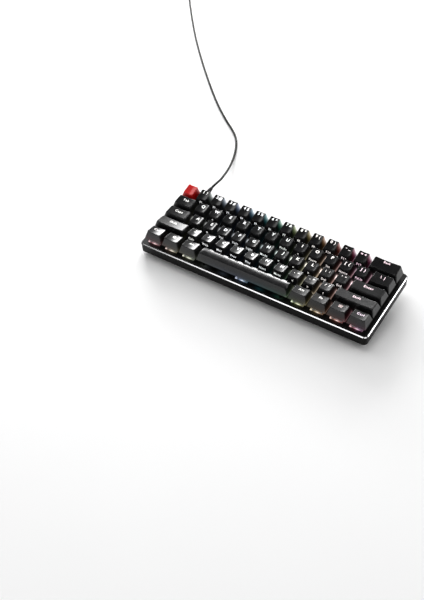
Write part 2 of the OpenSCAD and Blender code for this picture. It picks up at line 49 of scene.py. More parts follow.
# ------------------------------ the deck: the tilted frame of the plate, in mm
TILT = math.radians(6.85)
DECK_Y, DECK_Z = -0.6065, 22.2647  # the middle of the plate's upper face
DECK = Matrix.Translation((0, DECK_Y * MM, DECK_Z * MM)) @ Matrix.Rotation(TILT, 4, "X")
DECK_UP = DECK.to_3x3() @ Vector((0, 0, 1))


def deck_point(p):
    """A point in deck millimetres, in metres in the row frame."""
    return DECK @ (Vector(p) * MM)


def to_world(v):
    """Deck millimetres to row-frame metres, for an array of points."""
    m = np.array(DECK)
    return (v * MM) @ m[:3, :3].T + m[:3, 3]


# ------------------------------ camera, at the photograph's viewing angle
CAMERA_AT = Vector((0.40527, -0.76046, 0.76541))
CAMERA_RIGHT = Vector((0.84295, 0.53800, 0.00017))
CAMERA_AHEAD = Vector((-0.39165, 0.61387, -0.68540))
cam_data = bpy.data.cameras.new("camera")
cam_data.sensor_width = 36
cam_data.lens = 59.69
cam = bpy.data.objects.new("camera", cam_data)
bpy.context.scene.collection.objects.link(cam)
ahead = CAMERA_AHEAD.normalized()
right = (CAMERA_RIGHT - ahead * CAMERA_RIGHT.dot(ahead)).normalized()
turn = Matrix((right, right.cross(ahead), -ahead)).transposed().to_4x4()
cam.matrix_world = Matrix.Translation(CAMERA_AT) @ turn
bpy.context.scene.camera = cam

# ------------------------------ key grid, as in the CAD model
PITCH = 19.05
# Widths of the keys in pitches, row by row from the front
ROWS = [
    [1.25, 1.25, 1.25, 6.25, 1.25, 1.25, 1.25, 1.25],
    [2.25] + [1] * 10 + [2.75],
    [1.75] + [1] * 11 + [2.25],
    [1.5] + [1] * 12 + [1.5],
    [1] * 13 + [2],
]
# Each key node: its row, and its first and last key in that row
KEY_NODES = {
    "key_escape": (4, 0, 0), "keys_1_2_3": (4, 1, 3), "keys_4_5": (4, 4, 5), "keys_6_7": (4, 6, 7),
    "keys_8_9": (4, 8, 9), "keys_0_minus_equals": (4, 10, 12), "key_backspace": (4, 13, 13),
    "key_tab": (3, 0, 0), "keys_q_w_e": (3, 1, 3), "keys_r_t": (3, 4, 5), "keys_y_u": (3, 6, 7),
    "keys_i_o": (3, 8, 9), "keys_p_brackets": (3, 10, 12), "key_backslash": (3, 13, 13),
    "key_caps_lock": (2, 0, 0), "keys_a_s_d": (2, 1, 3), "keys_f_g_h": (2, 4, 6),
    "keys_j_k_l": (2, 7, 9), "keys_semicolon_quote": (2, 10, 11), "key_enter": (2, 12, 12),
    "key_left_shift": (1, 0, 0), "keys_z_x_c": (1, 1, 3), "keys_v_b": (1, 4, 5), "keys_n_m": (1, 6, 7),
    "keys_comma_period_slash": (1, 8, 10), "key_right_shift": (1, 11, 11),
    "key_left_ctrl": (0, 0, 0), "key_left_super": (0, 1, 1), "key_left_alt": (0, 2, 2),
    "key_space": (0, 3, 3), "key_right_alt": (0, 4, 4), "key_function": (0, 5, 5),
    "key_menu": (0, 6, 6), "key_right_ctrl": (0, 7, 7),
}
# Keycaps, in mm. The lists go row by row from the front.
CAP_D = 18.1  # depth at the skirt
CAP_GAP = 0.95  # between two skirts
SKIRT_Z = 5.8  # the skirt's height over the plate
CAP_FRONT = [10.6, 10.6, 9.0, 9.6, 9.4]  # the front edge of the top, over the skirt
CAP_BACK = [7.9, 7.9, 8.3, 9.9, 11.6]  # the back edge of the top, over the skirt
SIDE_IN, FRONT_IN, BACK_IN = 3.0, 3.3, 1.5  # how far the walls lean in, from skirt to top
DISH = 0.8  # depth of the hollow in a top
CROWN_R = 22  # radius of the space bar's crown
WALL, ROOF = 1.4, 2.0
FILLET = 0.36
STAB_REACH = {2: 11.94, 2.25: 11.94, 2.75: 11.94, 6.25: 50}  # key width: its middle to a stabiliser
MIDDLE_ROW = 2
BOARD_WIDTH = 15  # in pitches


def key_at(r, i):
    """The middle of a key, in deck millimetres."""
    return (sum(ROWS[r][:i]) + (ROWS[r][i] - BOARD_WIDTH) / 2) * PITCH, (r - MIDDLE_ROW) * PITCH


# Legends on the tops, and the small ones on the front faces, row by row from the front
TOPS = [
    ["Ctrl", "<ring>", "Alt", "", "Alt", "Fn", "<menu>", "Ctrl"],
    ["Shift", "Z", "X", "C", "V", "B", "N", "M", ", <", ". >", "/ ?", "Shift"],
    ["Caps", "A", "S", "D", "F", "G", "H", "J", "K", "L", "; :", "' \"", "Enter"],
    ["Tab", "Q", "W", "E", "R", "T", "Y", "U", "I", "O", "P", "[ {", "] }", "\\ |"],
    ["", "1 !", "2 @", "3 #", "4 $", "5 %", "6 ^", "7 &", "8 *", "9 (", "0 )", "- _", "= +", "Back"],
]
FRONTS = [
    ["", "", "", "", "", "", "", ""],
    ["", "Calc", "Web", "Mail", "Prev", "Play", "Next", "Mute", "<", ">", "?", ""],
    ["", "", "o", "Vol", "Vol+", "Light", "Mode", "<", "v", ">", "Del", "End", ""],
    ["", "", "^", "", "", "", "", "PrtSc", "^", "Pause", "Ins", "Home", "PgUp", ""],
    [""] + [f"F{n}" for n in range(1, 13)] + [""],
]

# Colour of the light under the keys, along u = x + GLOW_SLANT (y + GLOW_Y) on the deck, in mm
GLOW_SLANT, GLOW_Y = 0.53, 38
GLOW = [
    (-150, (1.0, 0.20, 0.30)), (-126, (1.0, 0.30, 0.34)), (-107, (1.0, 0.86, 0.50)),
    (-83, (0.92, 1.0, 0.60)), (-55, (0.72, 0.86, 1.0)), (-20, (0.34, 0.52, 1.0)),
    (5, (0.10, 0.66, 0.85)), (26, (0.12, 0.80, 0.62)), (40, (0.34, 0.92, 0.42)),
    (50, (0.78, 1.0, 0.36)), (64, (1.0, 0.86, 0.26)), (82, (1.0, 0.55, 0.16)),
    (100, (1.0, 0.26, 0.10)), (115, (1.0, 0.11, 0.15)), (124, (1.0, 0.11, 0.25)),
    (131, (0.74, 0.12, 0.60)), (139, (0.95, 0.14, 0.38)), (150, (0.95, 0.16, 0.42)),
    (190, (0.95, 0.16, 0.42)),
]
# How much painted glow a cap's right edge gets, where the lamps' light would escape, row by row from
# the front
LEAK = [0.15, 0.40, 3.0, 0.20, 0.0]  # beside the lamp
EDGE = [0.10, 0.45, 0.70, 0.55, 0.0]  # along the whole edge
LAMP_Y, LAMP_REACH = 5.5, 4.0  # a lamp's place behind its key's middle, and how far it shows
WALL_BAND = 3.4  # how much of a cap, in from its skirt's edge, counts as its side wall
WARM_FROM, WARM_OVER = 26, 30  # the painted glow along the edges fades in over these x


def glow_at(x, y):
    """Colour of the underglow at deck points, as an (n, 3) array."""
    u = np.asarray(x, float) + GLOW_SLANT * (np.asarray(y, float) + GLOW_Y)
    stops = [s for s, _ in GLOW]
    return np.stack([np.interp(u, stops, [c[k] for _, c in GLOW]) for k in range(3)], -1)


# ------------------------------ materials
class Nodes:
    """A material's node tree, with short ways to add to it."""

    def __init__(self, name, base=(0.5, 0.5, 0.5), rough=0.5, metallic=0.0, **inputs):
        self.mat = bpy.data.materials.new(name)
        self.mat.use_nodes = True
        self.tree = self.mat.node_tree
        self.shader = self.tree.nodes["Principled BSDF"]
        self.shader.inputs["Base Color"].default_value = (*base, 1)
        self.shader.inputs["Roughness"].default_value = rough
        self.shader.inputs["Metallic"].default_value = metallic
        for key, value in inputs.items():
            self.shader.inputs[key.replace("_", " ")].default_value = value
        self.place = self.add("ShaderNodeTexCoord").outputs["Object"]

    def add(self, kind, **settings):
        node = self.tree.nodes.new(kind)
        for key, value in settings.items():
            setattr(node, key, value)
        return node

    def link(self, source, node, socket):
        self.tree.links.new(source, node.inputs[socket])

    def math(self, op, a, b=None, clamp=False):
        node = self.add("ShaderNodeMath", operation=op, use_clamp=clamp)
        for k, value in enumerate((a, b)):
            if value is None:
                continue
            if isinstance(value, (int, float)):
                node.inputs[k].default_value = value
            else:
                self.link(value, node, k)
        return node.outputs[0]

    def noise(self, scale, detail=3.0, rough=0.55, stretch=None):
        node = self.add("ShaderNodeTexNoise")
        node.inputs["Scale"].default_value = scale
        node.inputs["Detail"].default_value = detail
        node.inputs["Roughness"].default_value = rough
        place = self.place
        if stretch:
            mapping = self.add("ShaderNodeMapping")
            mapping.inputs["Scale"].default_value = stretch
            self.link(place, mapping, "Vector")
            place = mapping.outputs[0]
        self.link(place, node, "Vector")
        return node.outputs["Fac"]

    def spread(self, value, low, high, from_low=0.3, from_high=0.7):
        """A value, stretched from its usual range to low and high."""
        node = self.add("ShaderNodeMapRange")
        limits = {"From Min": from_low, "From Max": from_high, "To Min": low, "To Max": high}
        for key, number in limits.items():
            node.inputs[key].default_value = number
        self.link(value, node, "Value")
        return node.outputs["Result"]

    def mix(self, fac, a, b):
        """Colour a, a tuple or a socket, going over to colour b with fac."""
        node = self.add("ShaderNodeMix", data_type="RGBA")
        self.link(fac, node, 0)
        for socket, colour in ((6, a), (7, b)):
            if isinstance(colour, tuple):
                node.inputs[socket].default_value = (*colour, 1)
            else:
                self.link(colour, node, socket)
        return node.outputs[2]

    def rough_by(self, value, low, high):
        self.link(self.spread(value, low, high), self.shader, "Roughness")
        return self

    def colour_by(self, value, a, b):
        self.link(self.mix(self.spread(value, 0, 1), a, b), self.shader, "Base Color")
        return self

    def bump(self, *layers):
        """Each layer is (height, distance in metres, strength)."""
        normal = None
        for height, distance, strength in layers:
            node = self.add("ShaderNodeBump")
            node.inputs["Strength"].default_value = strength
            node.inputs["Distance"].default_value = distance
            self.link(height, node, "Height")
            if normal is not None:
                self.link(normal, node, "Normal")
            normal = node.outputs["Normal"]
        self.link(normal, self.shader, "Normal")
        return self

    def deck_place(self):
        """Deck coordinates, in metres, as x, y and z sockets."""
        mapping = self.add("ShaderNodeMapping", vector_type="TEXTURE")
        mapping.inputs["Location"].default_value = DECK.translation
        mapping.inputs["Rotation"].default_value = (TILT, 0, 0)
        self.link(self.place, mapping, "Vector")
        split = self.add("ShaderNodeSeparateXYZ")
        self.link(mapping.outputs[0], split, 0)
        return split.outputs

    def glow_colour(self, x, y):
        """The underglow's colour at a deck place, from the same stops as glow_at."""
        shifted = self.math("ADD", x, GLOW_SLANT * GLOW_Y * MM)
        u = self.math("ADD", self.math("MULTIPLY", y, GLOW_SLANT), shifted)
        low, high = GLOW[0][0], GLOW[-1][0]
        share = self.math("DIVIDE", self.math("SUBTRACT", u, low * MM), (high - low) * MM)
        ramp = self.add("ShaderNodeValToRGB")
        elements = ramp.color_ramp.elements
        while len(elements) < len(GLOW):
            elements.new(0.5)
        for element, (stop, _) in zip(elements, GLOW):
            element.position = (stop - low) / (high - low)
        for element, (_, colour) in zip(elements, GLOW):
            element.color = (*colour, 1)
        self.link(share, ramp, "Fac")
        return ramp.outputs["Color"]

    def near(self, value, centre, width):
        """1 at centre, falling to 0 at width from it."""
        away = self.math("ABSOLUTE", self.math("SUBTRACT", value, centre))
        return self.math("SUBTRACT", 1.0, self.math("DIVIDE", away, width), clamp=True)

    def glow_attribute(self):
        """The painted glow that Build.object stores on the mesh, used as the emission."""
        node = self.add("ShaderNodeAttribute", attribute_name="glow")
        self.link(node.outputs["Color"], self.shader, "Emission Color")
        self.shader.inputs["Emission Strength"].default_value = 1.0
        return self


def moulded(name, base, other, rough, grain=2600, depth=0.00002, **inputs):
    """Moulded plastic with a fine spark-eroded grain, faint colour mottling and finger-worn gloss."""
    n = Nodes(name, base, sum(rough) / 2, **inputs)
    grain_noise = n.noise(grain, 2.0)
    n.colour_by(n.noise(160, 4.0), base, other)
    n.rough_by(n.noise(90, 5.0), *rough)
    return n.bump((grain_noise, depth, 0.55), (n.noise(420, 3.0), depth * 1.5, 0.2))


def cap_black():
    n = moulded("keycap_black", (0.005, 0.005, 0.0055), (0.009, 0.009, 0.0095), (0.18, 0.25),
                depth=0.000004, Specular_IOR_Level=0.44)
    return n.glow_attribute()


def cap_red():
    n = Nodes("keycap_red", (0.60, 0.004, 0.005), 0.16, Specular_IOR_Level=0.5, Coat_Weight=0.35,
              Coat_Roughness=0.08, Transmission_Weight=0.12, IOR=1.49)
    n.colour_by(n.noise(120, 3.0), (0.56, 0.002, 0.003), (0.74, 0.006, 0.006))
    n.rough_by(n.noise(70, 4.0), 0.12, 0.24)
    n.bump((n.noise(900, 2.0), 0.000012, 0.3))
    return n.glow_attribute()


def legend():
    n = Nodes("legend_light", (0.82, 0.82, 0.80), 0.42, Specular_IOR_Level=0.4)
    n.colour_by(n.noise(700, 2.0), (0.74, 0.74, 0.73), (0.88, 0.88, 0.86))
    n.bump((n.noise(2400, 2.0), 0.00001, 0.3))
    return n.glow_attribute()


# The switches of the front row stand on one lattice, in metres, from the first one's middle
LATTICE = ROWS[0][0] * PITCH * MM
LATTICE_FROM = -130.97 * MM


def front_row_place(n, x):
    """Place left or right of the nearest switch of the front row, in metres."""
    turns = n.math("DIVIDE", n.math("SUBTRACT", x, LATTICE_FROM - LATTICE / 2), LATTICE)
    return n.math("MULTIPLY", n.math("SUBTRACT", n.math("FRACT", turns), 0.5), LATTICE)


CHAMFER_UP = 0.707  # how far the chamfer's face points up
CHAMFER_LOW = -0.85 * MM  # its lower edge
FRONT_STRIP_Y = -46.5 * MM  # the middle of the plate's strip before the front row


def anodised():
    """Black anodised metal whose cut chamfer is left bright, with painted glow as emission on the strip
    before the front row.
    """
    n = Nodes("anodised_plate", (0.008, 0.008, 0.008), 0.36, Specular_IOR_Level=0.3)
    x, y, z = n.deck_place()
    facing = n.add("ShaderNodeVectorMath", operation="DOT_PRODUCT")
    n.link(n.add("ShaderNodeTexCoord").outputs["Normal"], facing, 0)
    facing.inputs[1].default_value = DECK_UP
    bright = n.math("GREATER_THAN", n.near(facing.outputs["Value"], CHAMFER_UP, 0.2), 0.05)
    edge = n.math("MULTIPLY", bright, n.math("GREATER_THAN", z, CHAMFER_LOW))
    brushed = n.noise(60, 4.0, 0.6, stretch=(1, 40, 40))
    dark = n.mix(n.spread(n.noise(240, 4.0), 0, 1), (0.005, 0.005, 0.005), (0.009, 0.009, 0.009))
    n.link(n.mix(edge, dark, (0.93, 0.93, 0.95)), n.shader, "Base Color")
    n.link(edge, n.shader, "Metallic")
    smoother = n.math("MULTIPLY", edge, 0.19)
    n.link(n.math("SUBTRACT", n.spread(brushed, 0.33, 0.46), smoother), n.shader, "Roughness")
    # Painted glow: emission on the plate's strip before the front row, beside each switch of that row,
    # where the lamps' light would spill.
    local = front_row_place(n, x)
    painted_spill = n.math("MULTIPLY", n.near(local, 0.0, 11 * MM), n.near(y, FRONT_STRIP_Y, 5 * MM))
    n.link(n.glow_colour(x, y), n.shader, "Emission Color")
    n.link(n.math("MULTIPLY", n.math("MULTIPLY", painted_spill, painted_spill), 0.03), n.shader, "Emission Strength")
    return n.bump((n.noise(3600, 2.0), 0.000012, 0.4), (brushed, 0.000006, 0.2))


def case_plastic():
    return moulded("case_plastic", (0.003, 0.003, 0.003), (0.005, 0.005, 0.005), (0.34, 0.48),
                   grain=1900, depth=0.00003, Specular_IOR_Level=0.13)


def laminate():
    n = Nodes("circuit_laminate", (0.01, 0.03, 0.016), 0.32, Coat_Weight=0.4, Coat_Roughness=0.2)
    weave = n.add("ShaderNodeTexBrick")
    weave.inputs["Scale"].default_value = 180
    n.link(n.place, weave, "Vector")
    threads = n.spread(weave.outputs["Fac"], 0, 1, 0, 1)
    n.link(n.mix(threads, (0.008, 0.026, 0.014), (0.014, 0.05, 0.024)), n.shader, "Base Color")
    return n.rough_by(n.noise(300), 0.25, 0.42).bump((n.noise(1200), 0.00002, 0.3))


FRONT_ROW_Y = -1.5 * PITCH * MM  # the line behind the front row


def painted_rim_glow(n, x, y):
    """How bright a switch's painted rim glow is: strongest at its left corner and just right of its
    middle.
    """
    local = front_row_place(n, x)
    corner = n.near(local, -6.6 * MM, 1.8 * MM)
    middle = n.math("MULTIPLY", n.near(local, 1.2 * MM, 4.5 * MM), 0.85)
    front = n.math("ADD", 0.12, n.math("MULTIPLY", n.math("LESS_THAN", y, FRONT_ROW_Y), 0.88))
    return n.math("MULTIPLY", front, n.math("ADD", 0.10, n.math("ADD", corner, middle)))


def switch_clear():
    """Milky clear nylon, with painted glow as emission for the lamp inside it, strongest low down."""
    n = Nodes("switch_clear", (0.30, 0.32, 0.33), 0.3, Transmission_Weight=0.25, Specular_IOR_Level=0.5)
    x, y, z = n.deck_place()
    low = n.spread(z, 1.0, 0.12, 1.0 * MM, 5.5 * MM)
    light = n.math("MULTIPLY", low, painted_rim_glow(n, x, y))
    # Painted glow: the emission follows height and the painted rim pattern.
    n.link(n.glow_colour(x, y), n.shader, "Emission Color")
    n.link(n.math("MULTIPLY", light, 0.12), n.shader, "Emission Strength")
    return n.rough_by(n.noise(500), 0.22, 0.4).bump((n.noise(1500), 0.00002, 0.3))


FLANGE_Z, LEDGE_Z = 0.02 * MM, 0.45 * MM  # on a switch's lower housing, over the plate


def switch_nylon():
    """Dark lower housing, lighter grey on its flange above the plate, with painted glow as emission on
    the flange's ledge.
    """
    n = Nodes("switch_nylon", (0.02, 0.02, 0.021), 0.45)
    x, y, z = n.deck_place()
    flange = n.math("GREATER_THAN", z, FLANGE_Z)
    ledge = n.math("GREATER_THAN", z, LEDGE_Z)
    rim = painted_rim_glow(n, x, y)
    n.link(n.mix(flange, (0.02, 0.02, 0.021), (0.16, 0.17, 0.18)), n.shader, "Base Color")
    whiter = n.math("MULTIPLY", rim, 0.75, clamp=True)
    # Painted glow on the ledge, whiter where the rim pattern is strongest.
    n.link(n.mix(whiter, n.glow_colour(x, y), (1.0, 0.97, 0.95)), n.shader, "Emission Color")
    n.link(n.math("MULTIPLY", n.math("MULTIPLY", ledge, rim), 1.1), n.shader, "Emission Strength")
    return n.rough_by(n.noise(500), 0.36, 0.52).bump((n.noise(1800), 0.00003, 0.4))


def metal(name, base, rough, stretch=None):
    """Bare metal, with a drawn grain where stretch says so."""
    n = Nodes(name, base, sum(rough) / 2, 1.0)
    grain = n.noise(500, 4.0, 0.6, stretch)
    darker = tuple(c * 0.8 for c in base)
    n.colour_by(n.noise(220, 3.0), darker, base)
    return n.rough_by(grain, *rough).bump((grain, 0.000008, 0.25))


def rubber(name, base, rough):
    other = tuple(c * 1.7 + 0.002 for c in base)
    return moulded(name, base, other, rough, grain=1500, depth=0.00004, Specular_IOR_Level=0.35)


def braided():
    """Fine braided sleeve: two crossing strands, as small raised cells."""
    n = Nodes("cable_sleeve", (0.006, 0.006, 0.006), 0.62, Sheen_Weight=0.05, Sheen_Roughness=0.5,
              Specular_IOR_Level=0.16)
    cells = n.add("ShaderNodeTexVoronoi", feature="F1", distance="MANHATTAN")
    cells.inputs["Scale"].default_value = 1500
    n.link(n.place, cells, "Vector")
    strands = n.spread(cells.outputs["Distance"], 1, 0, 0.1, 0.8)
    n.link(n.mix(strands, (0.001, 0.001, 0.001), (0.008, 0.008, 0.008)), n.shader, "Base Color")
    n.rough_by(n.noise(900), 0.52, 0.74)
    return n.bump((n.spread(cells.outputs["Distance"], 1, 0, 0.0, 0.9), 0.00012, 0.7))


def strap():
    n = Nodes("tie_strap", (0.008, 0.008, 0.009), 0.85, Sheen_Weight=0.6, Sheen_Roughness=0.4)
    loops = n.noise(2600, 2.0)
    n.colour_by(loops, (0.004, 0.004, 0.005), (0.022, 0.022, 0.024))
    return n.bump((loops, 0.00025, 0.8))


def lens():
    n = Nodes("light_lens", (0.85, 0.84, 0.78), 0.2, Coat_Weight=0.6)
    x, y, _ = n.deck_place()
    n.link(n.glow_colour(x, y), n.shader, "Emission Color")
    n.link(n.spread(n.noise(800), 5.0, 7.0), n.shader, "Emission Strength")
    return n.bump((n.noise(900), 0.00002, 0.3))


MATS = {
    "keycap_black": cap_black(),
    "keycap_red": cap_red(),
    "legend": legend(),
    "anodised_plate": anodised(),
    "case_plastic": case_plastic(),
    "circuit_laminate": laminate(),
    "switch_clear": switch_clear(),
    "switch_nylon": switch_nylon(),
    "stem": moulded("stem_plastic", (0.16, 0.03, 0.02), (0.22, 0.045, 0.03), (0.3, 0.42)),
    "spring_steel": metal("spring_steel", (0.62, 0.56, 0.44), (0.2, 0.34)),
    "wire_steel": metal("wire_steel", (0.66, 0.66, 0.68), (0.16, 0.3), (1, 12, 12)),
    "plug_metal": metal("plug_metal", (0.70, 0.71, 0.73), (0.18, 0.34), (1, 14, 1)),
    "screw_steel": metal("screw_steel", (0.06, 0.06, 0.065), (0.28, 0.42)),
    "light_lens": lens(),
    "chip_epoxy": moulded("chip_epoxy", (0.012, 0.012, 0.013), (0.02, 0.02, 0.021), (0.5, 0.62)),
    "foot_rubber": rubber("foot_rubber", (0.010, 0.010, 0.010), (0.66, 0.85)),
    "cable_moulding": rubber("cable_moulding", (0.011, 0.011, 0.012), (0.42, 0.56)),
    "cable_sleeve": braided(),
    "tie_strap": strap(),
}
MATS = {name: n.mat for name, n in MATS.items()}

# ------------------------------ mesh helpers: everything below is in deck millimetres


def rounded_ring(x0, x1, y0, y1, r, n_x=2, n_y=2, n_c=4):
    """A rounded rectangle, counter-clockwise from its front left.

    n_x, n_y and n_c are the points along its sides and round a corner, whatever its size."""
    r = max(0.02, min(r, (x1 - x0) / 2 - 0.01, (y1 - y0) / 2 - 0.01))
    parts = []
    sides = [((x0 + r, y0), (x1 - r, y0), n_x), ((x1, y0 + r), (x1, y1 - r), n_y),
             ((x1 - r, y1), (x0 + r, y1), n_x), ((x0, y1 - r), (x0, y0 + r), n_y)]
    centres = [(x1 - r, y0 + r), (x1 - r, y1 - r), (x0 + r, y1 - r), (x0 + r, y0 + r)]
    for k, ((ax, ay), (bx, by), n) in enumerate(sides):
        t = np.linspace(0, 1, n)[:, None]
        parts.append(np.array([[ax, ay]]) * (1 - t) + np.array([[bx, by]]) * t)
        a = math.radians(-90 + 90 * k) + np.linspace(0, math.pi / 2, n_c + 1)[1:-1]
        parts.append(np.stack([centres[k][0] + r * np.cos(a), centres[k][1] + r * np.sin(a)], -1))
    return np.concatenate(parts)


def circle_like(ring, radius):
    """A circle whose points lie at the same angles as those of a ring."""
    a = np.arctan2(ring[:, 1], ring[:, 0])
    return np.stack([radius * np.cos(a), radius * np.sin(a)], -1)


def circle(radius, n=20):
    a = np.arange(n) * 2 * math.pi / n
    return np.stack([radius * np.cos(a), radius * np.sin(a)], -1)


def level(ring, z):
    """A flat ring lifted to a height."""
    return np.concatenate([ring, np.full((len(ring), 1), float(z))], 1)


class Build:
    """Collects closed surfaces into one mesh."""

    def __init__(self):
        self.verts, self.faces, self.mats, self.glow = [], [], [], []
        self.count = 0

    def add(self, verts, faces, mat=0, glow=(0.0, 0.0, 0.0)):
        self.verts.append(np.asarray(verts, float))
        self.faces += [tuple(int(k) + self.count for k in f) for f in faces]
        self.mats += [mat] * len(faces)
        self.glow.append(np.broadcast_to(glow, (len(verts), 3)))
        self.count += len(verts)

    def loft(self, rings, at=(0, 0, 0), loop=False):
        """A surface through rings of equal length, closed at both ends or joined into a loop."""
        n = len(rings[0])
        verts = np.concatenate(rings) + np.array(at, float)
        faces = []
        for k in range(len(rings) - (not loop)):
            a, b = k * n, (k + 1) % len(rings) * n
            faces += [(a + s, a + (s + 1) % n, b + (s + 1) % n, b + s) for s in range(n)]
        if not loop:
            faces.append(tuple(range(n - 1, -1, -1)))
            faces.append(tuple(range((len(rings) - 1) * n, len(rings) * n)))
        self.add(verts, faces)

    def block(self, x, y, z, bevel=0.12, at=(0, 0, 0)):
        """A box between pairs of limits, with bevelled edges."""
        def ring(inset):
            return rounded_ring(x[0] + inset, x[1] - inset, y[0] + inset, y[1] - inset, bevel, 2, 2, 3)
        self.loft([level(ring(bevel), z[0]), level(ring(0), z[0] + bevel),
                   level(ring(0), z[1] - bevel), level(ring(bevel), z[1])], at)

    def object(self, name, mats, sharp=38, world=True):
        """The mesh as an object in the row frame: from deck millimetres, or from the frame's own."""
        verts = np.concatenate(self.verts)
        mesh = bpy.data.meshes.new(name)
        mesh.from_pydata(to_world(verts) if world else verts * MM, [], self.faces)
        for m in mats:
            mesh.materials.append(MATS[m])
        mesh.polygons.foreach_set("material_index", self.mats)
        mesh.polygons.foreach_set("use_smooth", [True] * len(self.faces))
        glow = np.concatenate(self.glow)
        if glow.any():
            layer = mesh.color_attributes.new("glow", "FLOAT_COLOR", "POINT")
            colour = np.concatenate([glow, np.ones((len(glow), 1))], 1)
            layer.data.foreach_set("color", colour.astype(np.float32).ravel())
        mesh.update()
        mesh.set_sharp_from_angle(angle=math.radians(sharp))
        obj = bpy.data.objects.new(name, mesh)
        bpy.context.scene.collection.objects.link(obj)
        return obj


# ------------------------------ keycaps
class Cap:
    """One keycap's shape, in millimetres from its key's centre, z from its skirt."""

    def __init__(self, r, i):
        self.r, self.i = r, i
        self.w = ROWS[r][i] * PITCH - CAP_GAP
        self.n_x = max(10, int(self.w / 1.5))
        self.hf, self.hb = CAP_FRONT[r], CAP_BACK[r]
        self.crowned = ROWS[r][i] > 6
        self.half = self.w / 2 - SIDE_IN
        self.y0, self.y1 = -CAP_D / 2 + FRONT_IN, CAP_D / 2 - BACK_IN

    def plane(self, y):
        """Height of the top's plane, before its dish or crown."""
        return self.hf + (self.hb - self.hf) * (y - self.y0) / (self.y1 - self.y0)

    def top(self, x, y):
        if self.crowned:
            return self.plane(y) - (y - (self.y0 + self.y1) / 2) ** 2 / (2 * CROWN_R)
        return self.plane(y) - DISH * np.clip(1 - (x / self.half) ** 2, 0, 1)

    def outline(self, t, inset=0.0):
        """The cap's outline at a share t of its height."""
        x = self.w / 2 - SIDE_IN * t - inset
        return rounded_ring(-x, x, -CAP_D / 2 + FRONT_IN * t + inset, CAP_D / 2 - BACK_IN * t - inset,
                            0.7 + 0.75 * t - 0.4 * inset, self.n_x, 10, 6)

    def side(self, t):
        """A ring of the wall, which takes the top's curve as it rises."""
        ring = self.outline(t)
        x, y = ring[:, 0], ring[:, 1]
        ty = self.y0 + (self.y1 - self.y0) * (y - y.min()) / (y.max() - y.min())
        flat = self.plane(ty)
        z = t * (flat + (self.top(x, ty) - flat) * t ** 5)
        return np.concatenate([ring, z[:, None]], 1)

    def over(self, inset, drop, scale=1.0):
        """A ring of the top or of the fillet round it."""
        ring = self.outline(1, inset) * scale
        ring[:, 1] += (self.y0 + self.y1) / 2 * (1 - scale)
        return np.concatenate([ring, (self.top(ring[:, 0], ring[:, 1]) - drop)[:, None]], 1)

    def rings(self):
        """The whole cap: from its roof's middle inside, round the skirt, to its top's middle."""
        fillet = FILLET * (1.7 if self.crowned else 1)
        narrowing = (self.hf - ROOF) / self.hf
        yf, yb = -CAP_D / 2 + WALL, CAP_D / 2 - WALL

        def inner(t, scale=1.0):
            x = self.w / 2 - WALL - narrowing * SIDE_IN * t
            ring = rounded_ring(-x, x, yf + narrowing * FRONT_IN * t, yb - narrowing * BACK_IN * t, 0.5,
                                self.n_x, 10, 6)
            mid = (ring[:, 1].max() + ring[:, 1].min()) / 2
            z = t * (self.plane(ring[:, 1]) - ROOF - 0.4 * scale)
            ring = np.stack([ring[:, 0] * scale, mid + (ring[:, 1] - mid) * scale], -1)
            return np.concatenate([ring, z[:, None]], 1)

        rings = [inner(1, 0.1), inner(1, 0.5), inner(1, 0.96), inner(0.97), inner(0.5), inner(0.02)]
        rings.append(level(self.outline(0, 0.35), 0.0))
        rings.append(level(self.outline(0, 0.12), 0.0))
        rings.append(level(self.outline(0, 0.0), 0.14))
        last = 1 - fillet / self.hf
        rings += [self.side(t) for t in (0.03, 0.06, 0.1, 0.16, 0.25, 0.38, 0.52, 0.68, 0.84, last)]
        for a in np.radians([22, 40, 56, 72, 90]):
            rings.append(self.over(fillet * (1 - math.cos(a)), fillet * (1 - math.sin(a))))
        for s in (0.94, 0.86, 0.76, 0.64, 0.5, 0.36, 0.22, 0.08):
            rings.append(self.over(fillet, 0, s))
        return rings

    def glow(self, v, cx, cy):
        """Painted glow on the cap's walls, as emission, standing in for the lamps' light that escapes
        past the skirt.

        It is painted at the right edge, most of all beside the lamp, at the back of the number row's
        right walls, and low on the front faces of the front row."""
        x, y, z = v[:, 0], v[:, 1], v[:, 2]
        colour = glow_at(cx + x, cy + y)
        pale = 0.2 * colour + 0.8
        on_right = np.clip((x - (self.w / 2 - WALL_BAND)) / 0.5, 0, 1)
        low = np.exp(-np.clip(z - 0.2, 0, None) / 0.7)
        lamp = np.clip(1 - np.abs(y - LAMP_Y) / LAMP_REACH, 0, 1)
        warm = np.clip((cx + x - WARM_FROM) / WARM_OVER, 0, 1)
        glow = np.zeros((len(v), 3))
        if 0 < self.i < len(ROWS[self.r]) - 1 or self.r < 4 and self.i == 0:
            glow += pale * (on_right * low * lamp * LEAK[self.r])[:, None]
            glow += (0.45 * colour + 0.55) * (on_right * low * warm * EDGE[self.r])[:, None]
            glow += colour * (on_right * (0.007 + 0.016 * warm) * np.exp(-z / 3.0))[:, None]
        if self.r == 4 and 0 < self.i < 13:
            back = np.clip((y + 1.5) / 9.0, 0, 1)
            rise = on_right * np.clip(z / 6, 0.35, 1)
            glow += colour * (0.26 * rise * back ** 1.6)[:, None] + (0.55 * rise * back ** 6)[:, None]
        if self.r == 0:
            before = np.clip((-y - (CAP_D / 2 - WALL_BAND)) / 0.8, 0, 1)
            glow += colour * (0.035 * before * np.exp(-z / 2.6))[:, None]
        glow[z > self.plane(y) + 1] = 0
        return glow


def cross(a, b):
    """A cross with arms a long and 2 b thick, with a point at each corner and between."""
    corners = np.array([(a, -b), (a, b), (b, b), (b, a), (-b, a), (-b, b), (-a, b), (-a, -b),
                        (-b, -b), (-b, -a), (b, -a), (b, -b)], float)
    between = (corners + np.roll(corners, -1, 0)) / 2
    return np.stack([corners, between], 1).reshape(-1, 2)


